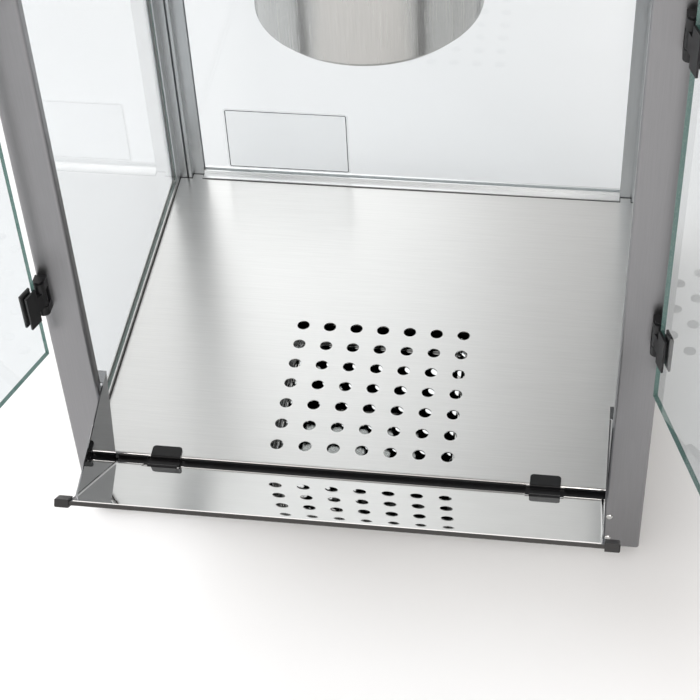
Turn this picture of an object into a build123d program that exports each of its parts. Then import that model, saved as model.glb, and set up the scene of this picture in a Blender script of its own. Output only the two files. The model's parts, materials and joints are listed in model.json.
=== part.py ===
from build123d import *
from math import atan2, cos, degrees, hypot, radians, sin, tan
import os

# Countertop popcorn cabinet: a glazed steel cabinet with a sifting floor, a tilt-out serving hatch,
# a kernel drawer, two glass doors and a tipping kettle under a canopy that holds the gear motor.
# Millimetres. +Z is up, the front faces -Y, and the feet stand on Z = 0.

os.makedirs("parts", exist_ok=True)

# ---- Cabinet -----------------------------------------------------------------------------------
cabinet_width = 389.0
cabinet_depth = 331.0
cabinet_height = 560.0
foot_height = 9.0
base_height = 41.0
canopy_height = 80.0
sheet = 1.0
bend = 1.6
seat_gap = 0.3

# ---- Front posts and glazing -------------------------------------------------------------------
post_face = 25.1
post_return = 7.0
post_side = 20.0
glass = 3.0
glazing_gap = 0.15
channel_wall = 1.0
channel_height = 8.0
gasket_setback = 8.0
extrusion_side = 15.0
groove_depth = 6.0
rear_rail_depth = 15.3
rail_step = 5.5
rail_height = 5.3
corner_reach = 24.5
corner_front = 9.0

# ---- Sifting floor -----------------------------------------------------------------------------
hole_pitch = 20.0
hole_radius = 4.0
hole_rows = 7
grid_setback = 93.0
floor_setback = 14.0
floor_fold = 5.5
floor_bend = 1.2

# ---- Serving hatch -----------------------------------------------------------------------------
hatch_open = 35.5
hatch_length = 112.0
hatch_side_gap = 1.1
hatch_axis_setback = 2.5
hatch_axis_rise = 1.0
curl_radius = 2.2
hinge_pin_radius = 1.15
running_gap = 0.05
gusset_root = 2.0
gusset_end = 99.0
gusset_tip = (34.4, 72.3)
gusset_hollow = 1.2
tab_reach = 7.5
clip_centres = (-135.4, 128.4)
clip_width = 21.0
clip_pad = 8.5
clip_gauge = 1.2
clip_notch = 2.5
slot_width = 26.0
slot_length = 8.5
cap_overhang = 9.5
cap_thickness = 5.4
gusset_bend = 1.4
hem_width = 7.5
hem_gauge = 0.6
bar_grip = 4.0

# ---- Kernel drawer -----------------------------------------------------------------------------
drawer_width = 134.0
drawer_depth = 15.0
drawer_length = 158.0
drawer_rim = 4.0
drawer_front_width = 152.0
pull_width = 60.0
pull_reach = 15.0

# ---- Doors -------------------------------------------------------------------------------------
door_open = 110.0
door_pin_inset = 3.5
door_pin_standoff = 6.2
door_pin_radius = 1.5
knuckle_radius = 3.8
door_bottom_rise = 123.0
door_top_gap = 6.0
door_centre_gap = 2.0
door_hinge_height = 26.0
lower_hinge_rise = 154.0
upper_hinge_drop = 60.0
door_knuckle = 12.0
door_edge = 6.2
clamp_reach = 17.0
handle_span = 80.0
handle_reach = 22.0

# ---- Kettle ------------------------------------------------------------------------------------
kettle_setback = 153.0
kettle_axis_drop = 72.0
kettle_inner_radius = 67.0
kettle_rim_radius = 75.0
kettle_wall = 2.0
kettle_inner_depth = 48.0
rim_drop = 10.0
jacket_radius = 72.0
jacket_wall = 1.2
jacket_gap = 10.0
trunnion_radius = 4.0
crossbar_width = 24.0
crossbar_gauge = 2.5
hanger_gauge = 3.0
hanger_width = 24.0
shaft_radius = 3.0
dog_radius = 6.0
dog_gap = 1.0
stirrer_rise = 34.0
lever_length = 62.0

# ---- Canopy ------------------------------------------------------------------------------------
cover_skirt = 14.0
canopy_flange = 18.0
panel_width = 110.0
panel_height = 40.0
rocker_pitch = 44.0
rocker_radius = 11.0
rocker_width = 15.0
rocker_tilt = 8.0
gland_out = 6.0
gland_bore = 3.6

# ---- Places that follow from the sizes ----------------------------------------------------------
half_width = cabinet_width / 2
floor_z = foot_height + base_height
ceiling_z = cabinet_height - canopy_height
pan_z = floor_z - sheet

door_pin_x = half_width - door_pin_inset
leaf_reach = door_pin_x - door_centre_gap
door_front = door_pin_standoff + leaf_reach * sin(radians(door_open)) - glass / 2 * cos(radians(door_open))
fascia_y = (door_front - cabinet_depth - gland_out) / 2
rear_y = fascia_y + cabinet_depth
middle_y = (fascia_y + rear_y) / 2
door_pin_y = fascia_y - door_pin_standoff

post_inner_x = half_width - post_face
channel_width = glass + 2 * (glazing_gap + channel_wall)
glazing_x = half_width - sheet - channel_width
glass_x = glazing_x + channel_width / 2
extrusion_x = half_width - sheet - extrusion_side
back_glass_y = rear_y - rear_rail_depth + rail_step + channel_width / 2
groove_width = glass + 2 * glazing_gap
floor_front = fascia_y + floor_setback
floor_rear = rear_y - rear_rail_depth
grid_y = fascia_y + grid_setback
rail_half = half_width - sheet - corner_reach
extrusion_front = floor_rear - corner_front
kettle_y = fascia_y + kettle_setback
kettle_z = ceiling_z - kettle_axis_drop
rim_z = kettle_z - rim_drop
canopy_top = cabinet_height - sheet


def level(z, x=0.0, y=0.0):
    """Horizontal plane at height z, with its origin above (x, y)."""
    return Plane(origin=(x, y, z))


def facing(y, x=0.0, z=0.0):
    """Vertical plane across the cabinet; its normal faces the front."""
    return Plane(origin=(x, y, z), x_dir=(1, 0, 0), z_dir=(0, -1, 0))


def section(x, y=0.0, z=0.0):
    """Vertical fore-and-aft plane; local x runs to the rear and local y up."""
    return Plane(origin=(x, y, z), x_dir=(0, 1, 0), z_dir=(1, 0, 0))


def block(left, right, low, high, mode=Mode.ADD):
    """Rectangle between four limits of the current sketch."""
    with Locations(((left + right) / 2, (low + high) / 2)):
        Rectangle(right - left, high - low, mode=mode)


def folded(points, gauge=sheet, radius=bend):
    """Section of a folded sheet: the sheet's middle line with rounded bends."""
    with BuildLine() as middle:
        FilletPolyline(*points, radius=radius)
    trace(middle.line, line_width=gauge)


# ---- Base --------------------------------------------------------------------------------------
with BuildPart() as foot_pads:
    with BuildSketch(level(0, 0, middle_y)):
        with GridLocations(cabinet_width - 60, cabinet_depth - 60, 2, 2):
            Circle(11)
    extrude(amount=foot_height)
    chamfer(foot_pads.edges().group_by(Axis.Z)[0], 1.5)
    with BuildSketch(level(foot_height, 0, middle_y)):
        with GridLocations(cabinet_width - 60, cabinet_depth - 60, 2, 2):
            Circle(6)
    extrude(amount=sheet)
foot_pads.part.label = "foot_pads"
export_step(foot_pads.part, "parts/foot_pads.step")

shell_x = half_width - 1.5 * sheet
shell_front = fascia_y + 3 * sheet
flange_front = floor_front + 4 * sheet
flange_x = extrusion_x - 0.5
with BuildPart() as base_shell:
    with BuildSketch(level(foot_height)):
        wall_rear = rear_y - sheet / 2
        folded(((-shell_x, shell_front), (-shell_x, wall_rear), (shell_x, wall_rear), (shell_x, shell_front)))
    extrude(amount=pan_z - foot_height)
    with BuildSketch(level(pan_z)):
        block(-half_width + sheet, half_width - sheet, flange_front, rear_y)
        block(-flange_x, flange_x, flange_front, floor_rear - 8, mode=Mode.SUBTRACT)
    extrude(amount=-sheet)
    with BuildSketch(level(foot_height)):
        block(-half_width + sheet, half_width - sheet, shell_front + floor_setback, rear_y)
        block(-flange_x, flange_x, shell_front + floor_setback, floor_rear, mode=Mode.SUBTRACT)
    extrude(amount=sheet)
base_shell.part.label = "base_shell"
export_step(base_shell.part, "parts/base_shell.step")

with BuildPart() as bottom_plate:
    with BuildSketch(level(foot_height + sheet, 0, middle_y)):
        Rectangle(cabinet_width - 4 * sheet - 2 * seat_gap, cabinet_depth - 2 * floor_setback - 4)
        with Locations((0, 90)):
            with GridLocations(12, 0, 9, 1):
                SlotOverall(36, 4, rotation=90, mode=Mode.SUBTRACT)
    extrude(amount=sheet)
bottom_plate.part.label = "bottom_plate"
export_step(bottom_plate.part, "parts/bottom_plate.step")

drawer_top = floor_z - 6.1
drawer_base = drawer_top - drawer_depth
panel_top = floor_z - 4
panel_y = fascia_y + 0.5
with BuildPart() as front_panel:
    with BuildSketch(section(-post_inner_x)):
        folded(
            (
                (panel_y + 11.5, foot_height + sheet / 2),
                (panel_y + sheet / 2, foot_height + sheet / 2),
                (panel_y + sheet / 2, panel_top - sheet / 2),
                (panel_y + 11.5, panel_top - sheet / 2),
            )
        )
    extrude(amount=2 * post_inner_x)
    opening_half = drawer_width / 2 + drawer_rim + 1.5
    with BuildSketch(facing(panel_y)):
        block(-opening_half, opening_half, drawer_base - 1.4, drawer_top + 0.7)
    extrude(amount=-1.5 * sheet, mode=Mode.SUBTRACT)
front_panel.part.label = "front_panel"
export_step(front_panel.part, "parts/front_panel.step")

with BuildPart() as floor_pan:
    with BuildSketch(section(-glazing_x)):
        folded(
            (
                (floor_front + sheet / 2, floor_z - floor_fold),
                (floor_front + sheet / 2, floor_z - sheet / 2),
                (floor_rear, floor_z - sheet / 2),
            ),
            radius=floor_bend,
        )
    extrude(amount=2 * glazing_x)
    with BuildSketch(level(floor_z, 0, grid_y)):
        with GridLocations(hole_pitch, hole_pitch, hole_rows, hole_rows):
            Circle(hole_radius)
    extrude(amount=-2 * sheet, mode=Mode.SUBTRACT)
floor_pan.part.label = "floor_pan"
export_step(floor_pan.part, "parts/floor_pan.step")

# ---- Front posts, glazing and rear corners -------------------------------------------------------
for side, s in (("left", -1), ("right", 1)):
    inner = s * (post_inner_x + sheet / 2)
    outer = s * (half_width - sheet / 2)
    with BuildPart() as front_post:
        with BuildSketch(level(foot_height)):
            folded(
                (
                    (inner, fascia_y + post_return),
                    (inner, fascia_y + sheet / 2),
                    (outer, fascia_y + sheet / 2),
                    (outer, fascia_y + post_side),
                )
            )
        extrude(amount=ceiling_z - foot_height)
    front_post.part.label = f"front_post_{side}"
    export_step(front_post.part, f"parts/front_post_{side}.step")

with BuildPart() as corner_extrusions:
    for s in (-1, 1):
        with BuildSketch(level(pan_z)) as corner:
            block(*sorted((s * extrusion_x, s * (half_width - sheet))), floor_rear, rear_y)
            fillet(corner.vertices().group_by(Axis.Y)[-1].sort_by(Axis.X)[0 if s < 0 else -1], 4)
            block(*sorted((s * glazing_x, s * (half_width - sheet))), extrusion_front, floor_rear)
            block(
                *sorted((s * rail_half, s * extrusion_x)),
                back_glass_y - channel_width / 2,
                back_glass_y + channel_width / 2,
            )
            block(
                s * glass_x - groove_width / 2,
                s * glass_x + groove_width / 2,
                extrusion_front,
                extrusion_front + groove_depth,
                mode=Mode.SUBTRACT,
            )
            block(
                *sorted((s * rail_half, s * (rail_half + groove_depth))),
                back_glass_y - groove_width / 2,
                back_glass_y + groove_width / 2,
                mode=Mode.SUBTRACT,
            )
            with Locations((s * (extrusion_x + 3), floor_rear + 2.4)):
                Circle(1.7, mode=Mode.SUBTRACT)
                Rectangle(1.6, 5, mode=Mode.SUBTRACT)
        extrude(amount=ceiling_z - pan_z)
corner_extrusions.part.label = "corner_extrusions"
export_step(corner_extrusions.part, "parts/corner_extrusions.step")

with BuildPart() as side_glass:
    with BuildSketch(level(pan_z + 2 * channel_wall)):
        glass_front = fascia_y + gasket_setback + channel_wall + seat_gap
        glass_rear = extrusion_front + groove_depth - seat_gap
        for x in (-glass_x, glass_x):
            block(x - glass / 2, x + glass / 2, glass_front, glass_rear)
    extrude(amount=ceiling_z - pan_z - 4 * channel_wall)
side_glass.part.label = "side_glass"
export_step(side_glass.part, "parts/side_glass.step")


def channel_section(x, z, up):
    """U channel for a pane, standing on z and open upwards (up = 1) or downwards (up = -1)."""
    low, high = sorted((z, z + up * channel_height))
    block(x - channel_width / 2, x + channel_width / 2, low, high)
    floor_face = z + up * channel_wall
    low, high = sorted((floor_face, z + up * channel_height))
    block(x - groove_width / 2, x + groove_width / 2, low, high, mode=Mode.SUBTRACT)


with BuildPart() as side_channels:
    with BuildSketch(facing(fascia_y + gasket_setback)):
        for x in (-glass_x, glass_x):
            channel_section(x, pan_z, 1)
            channel_section(x, ceiling_z, -1)
    extrude(amount=-(extrusion_front - fascia_y - gasket_setback))
side_channels.part.label = "side_channels"
export_step(side_channels.part, "parts/side_channels.step")

with BuildPart() as glazing_gaskets:
    with BuildSketch(level(pan_z + channel_height)):
        gasket_front = fascia_y + gasket_setback
        for x in (-glass_x, glass_x):
            block(x - channel_width / 2, x + channel_width / 2, gasket_front, gasket_front + channel_height)
            block(
                x - groove_width / 2,
                x + groove_width / 2,
                gasket_front + channel_wall,
                gasket_front + channel_height,
                mode=Mode.SUBTRACT,
            )
    extrude(amount=ceiling_z - pan_z - 2 * channel_height)
glazing_gaskets.part.label = "glazing_gaskets"
export_step(glazing_gaskets.part, "parts/glazing_gaskets.step")


def rear_rail_section(z, up):
    """Stepped rail that holds the rear pane; up = -1 turns it over for the top rail."""
    outline = [(floor_rear, 0), (rear_y, 0), (rear_y, 2.3)]
    for wall in (back_glass_y + groove_width / 2, back_glass_y - groove_width / 2 - channel_wall):
        outline += [(wall + channel_wall, 2.3), (wall + channel_wall, rail_height), (wall, rail_height), (wall, 2.3)]
    outline.append((floor_rear, 2.3))
    with BuildLine() as edge:
        Polyline(*[(y, z + up * rise) for y, rise in outline], close=True)
    make_face(edge.line)
    with Locations((back_glass_y, z + up * (1 + rail_height) / 2)):
        Rectangle(groove_width, rail_height - 1, mode=Mode.SUBTRACT)


with BuildPart() as rear_rails:
    with BuildSketch(section(-rail_half)):
        rear_rail_section(pan_z, 1)
        rear_rail_section(ceiling_z, -1)
    extrude(amount=2 * rail_half)
rear_rails.part.label = "rear_rails"
export_step(rear_rails.part, "parts/rear_rails.step")

with BuildPart() as back_glass:
    with BuildSketch(facing(back_glass_y)):
        pane_half = rail_half + groove_depth - seat_gap
        block(-pane_half, pane_half, pan_z + 1 + seat_gap, ceiling_z - 1 - seat_gap)
    extrude(amount=glass / 2, both=True)
back_glass.part.label = "back_glass"
export_step(back_glass.part, "parts/back_glass.step")

with BuildPart() as post_rivets:
    with BuildSketch(facing(fascia_y)):
        for s in (-1, 1):
            with Locations((s * (post_inner_x + 3.4), floor_z - 10.6), (s * (post_inner_x + 3.4), floor_z - 32.8)):
                Circle(2.2)
    extrude(amount=0.9)
    chamfer(post_rivets.faces().filter_by(Axis.Y).group_by(Axis.Y)[0].edges(), 0.5)
post_rivets.part.label = "post_rivets"
export_step(post_rivets.part, "parts/post_rivets.step")

# ---- Serving hatch -------------------------------------------------------------------------------
# The hatch is drawn in its own section: t runs from the hinge axis to the lip, n up off the tray.
hatch_y = fascia_y + hatch_axis_setback
hatch_z = floor_z + hatch_axis_rise
hatch_half = post_inner_x - hatch_side_gap
tray_t = (0, -cos(radians(hatch_open)), sin(radians(hatch_open)))
tray_low = curl_radius - sheet


def hatch_section(x):
    """Section of the hatch at x; extruding a positive amount runs to the left."""
    return Plane(origin=(x, hatch_y, hatch_z), x_dir=tray_t, z_dir=(-1, 0, 0))


with BuildPart() as hinge_rail:
    with BuildSketch(section(-post_inner_x + seat_gap)):
        block(fascia_y + 1.5, floor_front - 0.4, panel_top, panel_top + sheet)
        block(floor_front - 1.3, floor_front - 0.4, panel_top, floor_z - 0.6)
    extrude(amount=2 * (post_inner_x - seat_gap))
    for x in clip_centres:
        with BuildSketch(facing(floor_front, x)):
            block(-clip_width / 2 - clip_notch, clip_width / 2 + clip_notch, panel_top + sheet, floor_z)
        extrude(amount=2, mode=Mode.SUBTRACT)
hinge_rail.part.label = "hinge_rail"
export_step(hinge_rail.part, "parts/hinge_rail.step")

rail_top = panel_top + sheet
with BuildPart() as hinge_clips:
    for x in clip_centres:
        with BuildSketch(section(x - clip_width / 2)):
            folded(
                (
                    (floor_front + clip_pad, floor_z + clip_gauge / 2),
                    (floor_front - clip_gauge, floor_z + clip_gauge / 2),
                    (floor_front - clip_gauge, rail_top + clip_gauge / 2),
                    (hatch_y + 0.7, rail_top + clip_gauge / 2),
                    (hatch_y + 0.7, hatch_z - curl_radius + 0.7),
                ),
                gauge=clip_gauge,
                radius=0.8,
            )
            with Locations((hatch_y, hatch_z)):
                Circle(curl_radius)
                Circle(hinge_pin_radius + running_gap, mode=Mode.SUBTRACT)
        extrude(amount=clip_width)
    fillet(hinge_clips.edges().filter_by(Axis.Z).group_by(Axis.Y)[-1], 2.5)
hinge_clips.part.label = "hinge_clips"
export_step(hinge_clips.part, "parts/hinge_clips.step")

# Each clip's pin runs on through a long curl at the tray's end and a short one at the other side.
curl_spans = []
pin_spans = []
for x in clip_centres:
    s = -1 if x < 0 else 1
    slot_outer = x + s * slot_width / 2
    slot_inner = x - s * slot_width / 2
    curl_spans.append(sorted((slot_outer, s * hatch_half)))
    curl_spans.append(sorted((slot_inner, slot_inner - s * 4)))
    pin_spans.append(sorted((slot_inner - s * 4, s * hatch_half)))

with BuildPart() as hatch_pins:
    for low, high in pin_spans:
        with BuildSketch(hatch_section(low)):
            Circle(hinge_pin_radius)
        extrude(amount=-(high - low))
hatch_pins.part.label = "hatch_pins"
export_step(hatch_pins.part, "parts/hatch_pins.step")

tip_t, tip_n = gusset_tip
edge_angle = atan2(tray_low - tip_n, gusset_end - tip_t)
tip_y = hatch_y - tip_t * cos(radians(hatch_open)) + tip_n * sin(radians(hatch_open))
tab_forward = cos(edge_angle) * cos(radians(hatch_open)) - sin(edge_angle) * sin(radians(hatch_open))
tab_length = (tip_y - fascia_y - post_return - seat_gap) / tab_forward
with BuildPart() as hatch_tray:
    with BuildSketch(hatch_section(0)):
        block(1.0, hatch_length, tray_low, curl_radius)
    extrude(amount=hatch_half, both=True)
    for low, high in curl_spans:
        with BuildSketch(hatch_section(low)):
            Circle(curl_radius)
            block(0, 2, tray_low, curl_radius)
        extrude(amount=-(high - low))
    for x in clip_centres:
        with BuildSketch(hatch_section(x - slot_width / 2)):
            block(-curl_radius - 1, slot_length, -curl_radius - 1, curl_radius + 1)
        extrude(amount=-slot_width, mode=Mode.SUBTRACT)
    with BuildSketch(hatch_section(0)):
        Circle(hinge_pin_radius + running_gap)
    extrude(amount=hatch_half, both=True, mode=Mode.SUBTRACT)
    for s in (-1, 1):
        with BuildSketch(hatch_section(s * (hatch_half - sheet))):
            with BuildLine():
                foot = Line((gusset_root, tray_low), (gusset_end, tray_low))
                lip_edge = SagittaArc(foot @ 1, gusset_tip, gusset_hollow)
                Line(lip_edge @ 1, foot @ 0)
            make_face()
        extrude(amount=-s * sheet)
        with BuildSketch(hatch_section(s * (hatch_half - sheet))):
            with Locations(gusset_tip):
                Rectangle(tab_length, sheet, rotation=degrees(edge_angle), align=(Align.MIN, Align.MAX))
        extrude(amount=-s * (sheet + tab_reach))
    inner_folds = hatch_tray.edges().filter_by(Axis((0, 0, 0), tray_t)).filter_by_position(
        Axis.X, -hatch_half + sheet / 2, hatch_half - sheet / 2
    )
    fillet(inner_folds.sort_by(Edge.length)[-2:], gusset_bend)
    with BuildSketch(hatch_section(0)):
        block(hatch_length - hem_width, hatch_length, tray_low, curl_radius + hem_gauge)
    extrude(amount=hatch_half - sheet - gusset_bend, both=True)
hatch_tray.part.label = "hatch_tray"
export_step(hatch_tray.part, "parts/hatch_tray.step")

bar_low = tray_low - 1.8
bar_root = hatch_length - 7
with BuildPart() as lip_bar:
    with BuildSketch(hatch_section(0)):
        block(bar_root, hatch_length + seat_gap, bar_low, tray_low)
    extrude(amount=hatch_half + bar_grip, both=True)
lip_bar.part.label = "lip_bar"
export_step(lip_bar.part, "parts/lip_bar.step")

cap_top = curl_radius + 1.2
with BuildPart() as lip_caps:
    for s in (-1, 1):
        with BuildSketch(hatch_section(s * hatch_half)):
            block(hatch_length - 8, hatch_length + 1.8, cap_top - cap_thickness, cap_top)
        extrude(amount=-s * cap_overhang)
        fillet(lip_caps.faces().sort_by(Axis.X)[0 if s < 0 else -1].edges(), 1.2)
        with BuildSketch(hatch_section(s * hatch_half)):
            block(bar_root, hatch_length + seat_gap, bar_low, tray_low)
        extrude(amount=-s * bar_grip, mode=Mode.SUBTRACT)
lip_caps.part.label = "lip_caps"
export_step(lip_caps.part, "parts/lip_caps.step")

# ---- Kernel drawer -------------------------------------------------------------------------------
drawer_y = panel_y - seat_gap
tray_rear = drawer_y + drawer_length
with BuildPart() as kernel_drawer:
    with BuildSketch(level(drawer_base, 0, drawer_y + drawer_length / 2)):
        RectangleRounded(drawer_width, drawer_length, 14)
    extrude(amount=drawer_depth)
    fillet(kernel_drawer.faces().sort_by(Axis.Z)[0].edges(), 7)
    offset(amount=-sheet, openings=kernel_drawer.faces().sort_by(Axis.Z)[-1])
    with BuildSketch(level(drawer_top - sheet, 0, drawer_y + drawer_length / 2)):
        RectangleRounded(drawer_width + 2 * drawer_rim, drawer_length, 14)
        RectangleRounded(drawer_width - sheet, drawer_length - sheet, 13.5, mode=Mode.SUBTRACT)
    extrude(amount=sheet)
kernel_drawer.part.label = "kernel_drawer"
export_step(kernel_drawer.part, "parts/kernel_drawer.step")

front_low = drawer_base - 2.4
front_high = drawer_top + 1.6
with BuildPart() as drawer_front:
    with BuildSketch(facing(drawer_y, 0, (front_low + front_high) / 2)):
        RectangleRounded(drawer_front_width, front_high - front_low, 2.5)
    extrude(amount=1.5)
drawer_front.part.label = "drawer_front"
export_step(drawer_front.part, "parts/drawer_front.step")

with BuildPart() as drawer_pull:
    with BuildSketch(level((front_low + front_high) / 2 - 3)):
        pull_front = drawer_y - 1.5 - pull_reach
        folded(
            (
                (-pull_width / 2, drawer_y - 1.5),
                (-pull_width / 2, pull_front),
                (pull_width / 2, pull_front),
                (pull_width / 2, drawer_y - 1.5),
            ),
            gauge=4,
            radius=6,
        )
    extrude(amount=8)
drawer_pull.part.label = "drawer_pull"
export_step(drawer_pull.part, "parts/drawer_pull.step")

with BuildPart() as drawer_runners:
    ledge_top = drawer_top - sheet - seat_gap
    for s in (-1, 1):
        web_x = s * (drawer_width / 2 + drawer_rim + 2)
        ledge_x = s * (drawer_width / 2 + 0.8)
        with BuildSketch(facing(floor_front)):
            folded(
                (
                    (ledge_x, ledge_top - sheet / 2),
                    (web_x, ledge_top - sheet / 2),
                    (web_x, foot_height + 2.5 * sheet),
                    (web_x + s * 10, foot_height + 2.5 * sheet),
                )
            )
        extrude(amount=-(drawer_length - 12))
drawer_runners.part.label = "drawer_runners"
export_step(drawer_runners.part, "parts/drawer_runners.step")

# ---- Doors -------------------------------------------------------------------------------------
lower_hinge_z = floor_z + lower_hinge_rise
upper_hinge_z = ceiling_z - upper_hinge_drop
hinge_feet = (lower_hinge_z, upper_hinge_z)
knuckle_low = (door_hinge_height - door_knuckle) / 2
door_low = floor_z + door_bottom_rise
door_high = ceiling_z - door_top_gap
with BuildPart() as door_brackets:
    for x in (-door_pin_x, door_pin_x):
        for z in hinge_feet:
            with BuildSketch(level(z, x, door_pin_y)):
                block(-knuckle_radius, knuckle_radius, door_pin_standoff - 1.3, door_pin_standoff)
            extrude(amount=door_hinge_height)
            for low in (0, knuckle_low + door_knuckle):
                with BuildSketch(level(z + low, x, door_pin_y)):
                    Circle(knuckle_radius)
                    block(-knuckle_radius, knuckle_radius, 0, door_pin_standoff)
                    Circle(door_pin_radius + running_gap, mode=Mode.SUBTRACT)
                extrude(amount=knuckle_low)
door_brackets.part.label = "door_brackets"
export_step(door_brackets.part, "parts/door_brackets.step")

with BuildPart() as door_pins:
    for x in (-door_pin_x, door_pin_x):
        for z in hinge_feet:
            with BuildSketch(level(z, x, door_pin_y)):
                Circle(door_pin_radius)
            extrude(amount=door_hinge_height)
            with BuildSketch(level(z + door_hinge_height, x, door_pin_y)):
                Circle(door_pin_radius + 1.3)
            extrude(amount=1.5)
door_pins.part.label = "door_pins"
export_step(door_pins.part, "parts/door_pins.step")

for side, s in (("left", -1), ("right", 1)):
    leaf = Vector(-s * cos(radians(door_open)), -sin(radians(door_open)), 0)
    outward = Vector(s * sin(radians(door_open)), -cos(radians(door_open)), 0)
    pin = Vector(s * door_pin_x, door_pin_y, 0)

    def door_level(z):
        """Plane on the hinge pin: local x runs along the open leaf and s * local y is outward."""
        return Plane(origin=pin + Vector(0, 0, z), x_dir=leaf, z_dir=(0, 0, 1))

    with BuildPart() as hinge_leaves:
        for z in hinge_feet:
            with BuildSketch(door_level(z + knuckle_low + seat_gap)):
                Circle(knuckle_radius - 0.2)
                block(0, door_edge + 2, -3, 3)
                Circle(door_pin_radius + running_gap, mode=Mode.SUBTRACT)
                block(door_edge, door_edge + 2, -groove_width / 2, groove_width / 2, mode=Mode.SUBTRACT)
            extrude(amount=door_knuckle - 2 * seat_gap)
            with BuildSketch(door_level(z)):
                block(door_edge + 1, clamp_reach, -3, 3)
                block(door_edge, clamp_reach, -groove_width / 2, groove_width / 2, mode=Mode.SUBTRACT)
            extrude(amount=door_hinge_height)
    hinge_leaves.part.label = f"door_hinge_leaves_{side}"
    export_step(hinge_leaves.part, f"parts/door_hinge_leaves_{side}.step")

    with BuildPart() as door_glass:
        with BuildSketch(door_level(door_low)):
            block(door_edge, leaf_reach, -glass / 2, glass / 2)
        extrude(amount=door_high - door_low)
        fillet(door_glass.faces().sort_by_distance(pin + leaf * leaf_reach)[0].edges(), 0.6)
    door_glass.part.label = f"door_glass_{side}"
    export_step(door_glass.part, f"parts/door_glass_{side}.step")

    handle_z = (door_low + door_high) / 2
    grip = pin + leaf * (leaf_reach - 16)
    grip_plane = Plane(origin=grip + Vector(0, 0, handle_z), x_dir=outward, z_dir=leaf * s)
    with BuildPart() as door_handle:
        with BuildSketch(grip_plane):
            folded(
                (
                    (glass / 2, -handle_span / 2),
                    (handle_reach, -handle_span / 2),
                    (handle_reach, handle_span / 2),
                    (glass / 2, handle_span / 2),
                ),
                gauge=7,
                radius=8,
            )
        extrude(amount=5, both=True)
        fillet(door_handle.edges().filter_by(GeomType.LINE).filter_by(Axis.Z), 2)
    door_handle.part.label = f"door_handle_{side}"
    export_step(door_handle.part, f"parts/door_handle_{side}.step")

    with BuildPart() as strike:
        strike_plane = Plane(
            origin=pin + leaf * (leaf_reach - 10) + Vector(0, 0, door_high - 12), x_dir=leaf, z_dir=-outward
        )
        with BuildSketch(strike_plane.offset(glass / 2)):
            Circle(7)
        extrude(amount=1.2)
    strike.part.label = f"door_strike_{side}"
    export_step(strike.part, f"parts/door_strike_{side}.step")

with BuildPart() as magnet_catch:
    catch_front = door_pin_y + glass / 2 + 1.2 + seat_gap
    with BuildSketch(section(-19)):
        block(catch_front, fascia_y + 8, door_high - 19, ceiling_z)
        block(catch_front, fascia_y + 1, ceiling_z - 1, ceiling_z, mode=Mode.SUBTRACT)
    extrude(amount=38)
    fillet(magnet_catch.edges().filter_by(Axis.Z), 1.5)
magnet_catch.part.label = "magnet_catch"
export_step(magnet_catch.part, "parts/magnet_catch.step")

# ---- Canopy ------------------------------------------------------------------------------------
drive_hole = 7.0
with BuildPart() as ceiling_plate:
    with BuildSketch(level(ceiling_z + sheet, 0, middle_y)):
        Rectangle(cabinet_width - 2 * sheet - 2 * seat_gap, cabinet_depth - 2 * sheet - 2 * seat_gap)
        with Locations((0, kettle_y - middle_y)):
            Circle(drive_hole, mode=Mode.SUBTRACT)
    extrude(amount=sheet)
ceiling_plate.part.label = "ceiling_plate"
export_step(ceiling_plate.part, "parts/ceiling_plate.step")

panel_z = ceiling_z + (canopy_height - cover_skirt) / 2
gland_x = -half_width + 45
gland_z = ceiling_z + 30
gland_body = 6.8
with BuildPart() as canopy_shell:
    with BuildSketch(level(ceiling_z, 0, middle_y)):
        Rectangle(cabinet_width, cabinet_depth)
        Rectangle(cabinet_width - 2 * sheet, cabinet_depth - 2 * sheet, mode=Mode.SUBTRACT)
    extrude(amount=canopy_top - ceiling_z)
    with BuildSketch(level(ceiling_z, 0, middle_y)):
        Rectangle(cabinet_width - sheet, cabinet_depth - sheet)
        Rectangle(cabinet_width - 2 * canopy_flange, cabinet_depth - 2 * canopy_flange, mode=Mode.SUBTRACT)
    extrude(amount=sheet)
    with BuildSketch(facing(fascia_y, 0, panel_z)):
        Rectangle(panel_width - 10, panel_height - 8)
    extrude(amount=-2 * sheet, mode=Mode.SUBTRACT)
    with BuildSketch(facing(rear_y)):
        with Locations((gland_x, gland_z)):
            Circle(gland_body + 0.1)
        with Locations((0, panel_z)):
            with GridLocations(16, 20, 9, 2):
                SlotOverall(12, 3, rotation=90)
    extrude(amount=2 * sheet, both=True, mode=Mode.SUBTRACT)
canopy_shell.part.label = "canopy_shell"
export_step(canopy_shell.part, "parts/canopy_shell.step")

cover_gap = 0.2
cover_half_x = half_width + cover_gap + sheet
with BuildPart() as top_cover:
    with BuildSketch(level(cabinet_height - cover_skirt, 0, middle_y)):
        RectangleRounded(2 * cover_half_x, cabinet_depth + 2 * (cover_gap + sheet), 1.5)
    extrude(amount=cover_skirt)
    fillet(top_cover.faces().sort_by(Axis.Z)[-1].edges(), 1.4)
    with BuildSketch(level(cabinet_height - cover_skirt, 0, middle_y)):
        Rectangle(cabinet_width + 2 * cover_gap, cabinet_depth + 2 * cover_gap)
    extrude(amount=cover_skirt - sheet, mode=Mode.SUBTRACT)
top_cover.part.label = "top_cover"
export_step(top_cover.part, "parts/top_cover.step")

with BuildPart() as cover_screws:
    for s in (-1, 1):
        screw_plane = Plane(
            origin=(s * cover_half_x, middle_y, cabinet_height - cover_skirt / 2), x_dir=(0, 1, 0), z_dir=(s, 0, 0)
        )
        with BuildSketch(screw_plane):
            with GridLocations(cabinet_depth / 2 - 25, 0, 3, 1):
                Circle(3.4)
                Rectangle(4.2, 0.9, mode=Mode.SUBTRACT)
        extrude(amount=1.8)
cover_screws.part.label = "cover_screws"
export_step(cover_screws.part, "parts/cover_screws.step")

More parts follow.
